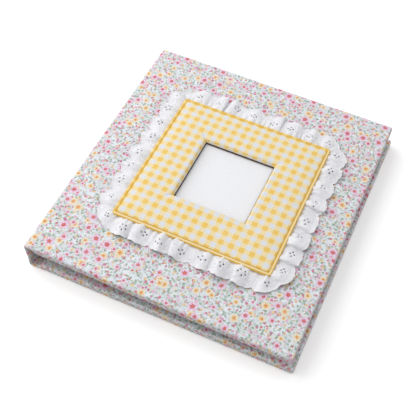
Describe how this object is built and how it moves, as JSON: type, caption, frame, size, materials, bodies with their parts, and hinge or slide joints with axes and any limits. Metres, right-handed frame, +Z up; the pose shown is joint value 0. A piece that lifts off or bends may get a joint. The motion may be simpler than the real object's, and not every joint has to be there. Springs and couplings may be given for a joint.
{
  "type": "scrapbook album",
  "caption": "Padded cloth-covered ring-bound album lying closed, with a ruffled, padded photo frame on its front cover and a card that slides out of it.",
  "frame": {"origin": "under the middle of the closed album, on the surface that it lies on", "axes": "+X from the spine to the fore edge, +Y from the tail to the head, +Z up"},
  "size_m": [0.2742, 0.292, 0.0421],
  "materials": {
    "floral_cloth": "matte printed cotton",
    "batting": "matte",
    "greyboard": "matte",
    "liner_paper": "matte",
    "gingham": "matte woven cotton",
    "lace": "matte",
    "nickel_plate": "polished",
    "spring_steel": "satin",
    "pocket_card": "matte",
    "photo_card": "satin",
    "page_card": "matte"
  },
  "bodies": {
    "back_cover": {"back_fabric": "floral_cloth", "back_padding": "batting", "back_board": "greyboard", "back_liner": "liner_paper", "back_hinge_strip": "floral_cloth"},
    "spine": {"spine_fabric": "floral_cloth", "spine_padding": "batting", "spine_board": "greyboard", "spine_liner": "liner_paper", "ring_plate": "nickel_plate", "ring_rivets": "nickel_plate"},
    "front_cover": {"front_fabric": "floral_cloth", "front_padding": "batting", "front_board": "greyboard", "front_liner": "liner_paper", "front_hinge_strip": "floral_cloth", "spine_side_strip": "pocket_card", "fore_side_strip": "pocket_card", "tail_strip": "pocket_card", "frame_board": "greyboard", "frame_padding": "batting", "frame_fabric": "gingham", "frame_piping": "gingham", "lace_heading": "lace", "lace_ruffle": "lace"},
    "photo_card": {"photo_card": "photo_card"},
    "front_rings": {"front_ring_blade": "spring_steel", "front_ring_halves": "nickel_plate"},
    "back_rings": {"back_ring_blade": "spring_steel", "back_ring_halves": "nickel_plate"},
    "tail_trigger": {"tail_trigger": "nickel_plate"},
    "head_trigger": {"head_trigger": "nickel_plate"},
    "page_1": {"page_1": "page_card"},
    "page_2": {"page_2": "page_card"},
    "page_3": {"page_3": "page_card"},
    "page_4": {"page_4": "page_card"},
    "page_5": {"page_5": "page_card"},
    "page_6": {"page_6": "page_card"}
  },
  "joints": [
    {"name": "spine_hinge", "type": "hinge", "parent": "back_cover", "child": "spine", "pos_m": [-0.1331, 0, 0.004], "axis": [0, -1, 0], "range_deg": [0, 90]},
    {"name": "cover_hinge", "type": "hinge", "parent": "spine", "child": "front_cover", "pos_m": [-0.1331, 0, 0.0317], "axis": [0, -1, 0], "range_deg": [0, 83]},
    {"name": "photo_slide", "type": "slide", "parent": "front_cover", "child": "photo_card", "axis": [0, 1, 0], "range_m": [0, 0.135]},
    {"name": "rings_open", "type": "hinge", "parent": "spine", "child": "front_rings", "pos_m": [-0.1321, 0, 0.02435], "axis": [0, -1, 0], "range_deg": [0, 7]},
    {"name": "back_rings_open", "type": "hinge", "parent": "spine", "child": "back_rings", "pos_m": [-0.1321, 0, 0.01135], "axis": [0, -1, 0], "range_deg": [-7.1, 0]},
    {"name": "tail_trigger_press", "type": "hinge", "parent": "spine", "child": "tail_trigger", "pos_m": [-0.1321, -0.125, 0.01785], "axis": [0, 0, -1], "range_deg": [0, 10]},
    {"name": "head_trigger_press", "type": "hinge", "parent": "spine", "child": "head_trigger", "pos_m": [-0.1321, 0.125, 0.01785], "axis": [0, 0, 1], "range_deg": [0, 10]},
    {"name": "page_1_turn", "type": "hinge", "parent": "spine", "child": "page_1", "pos_m": [-0.1242, 0, 0.01785], "axis": [0, -1, 0], "range_deg": [0, 90]},
    {"name": "page_2_turn", "type": "hinge", "parent": "spine", "child": "page_2", "pos_m": [-0.1242, 0, 0.01785], "axis": [0, -1, 0], "range_deg": [0, 90]},
    {"name": "page_3_turn", "type": "hinge", "parent": "spine", "child": "page_3", "pos_m": [-0.1242, 0, 0.01785], "axis": [0, -1, 0], "range_deg": [0, 90]},
    {"name": "page_4_turn", "type": "hinge", "parent": "spine", "child": "page_4", "pos_m": [-0.1242, 0, 0.01785], "axis": [0, -1, 0], "range_deg": [-90.5, 0]},
    {"name": "page_5_turn", "type": "hinge", "parent": "spine", "child": "page_5", "pos_m": [-0.1242, 0, 0.01785], "axis": [0, -1, 0], "range_deg": [-90.5, 0]},
    {"name": "page_6_turn", "type": "hinge", "parent": "spine", "child": "page_6", "pos_m": [-0.1242, 0, 0.01785], "axis": [0, -1, 0], "range_deg": [-90.5, 0]}
  ],
  "couplings": [
    {"joint": "back_rings_open", "follows": "rings_open", "ratio": -1},
    {"joint": "tail_trigger_press", "follows": "rings_open", "ratio": 1.42},
    {"joint": "head_trigger_press", "follows": "rings_open", "ratio": 1.42},
    {"joint": "page_1_turn", "follows": "cover_hinge", "ratio": 0.985},
    {"joint": "page_2_turn", "follows": "cover_hinge", "ratio": 0.97},
    {"joint": "page_3_turn", "follows": "cover_hinge", "ratio": 0.955},
    {"joint": "page_4_turn", "follows": "spine_hinge", "ratio": -0.975},
    {"joint": "page_5_turn", "follows": "spine_hinge", "ratio": -0.98},
    {"joint": "page_6_turn", "follows": "spine_hinge", "ratio": -0.985}
  ]
}
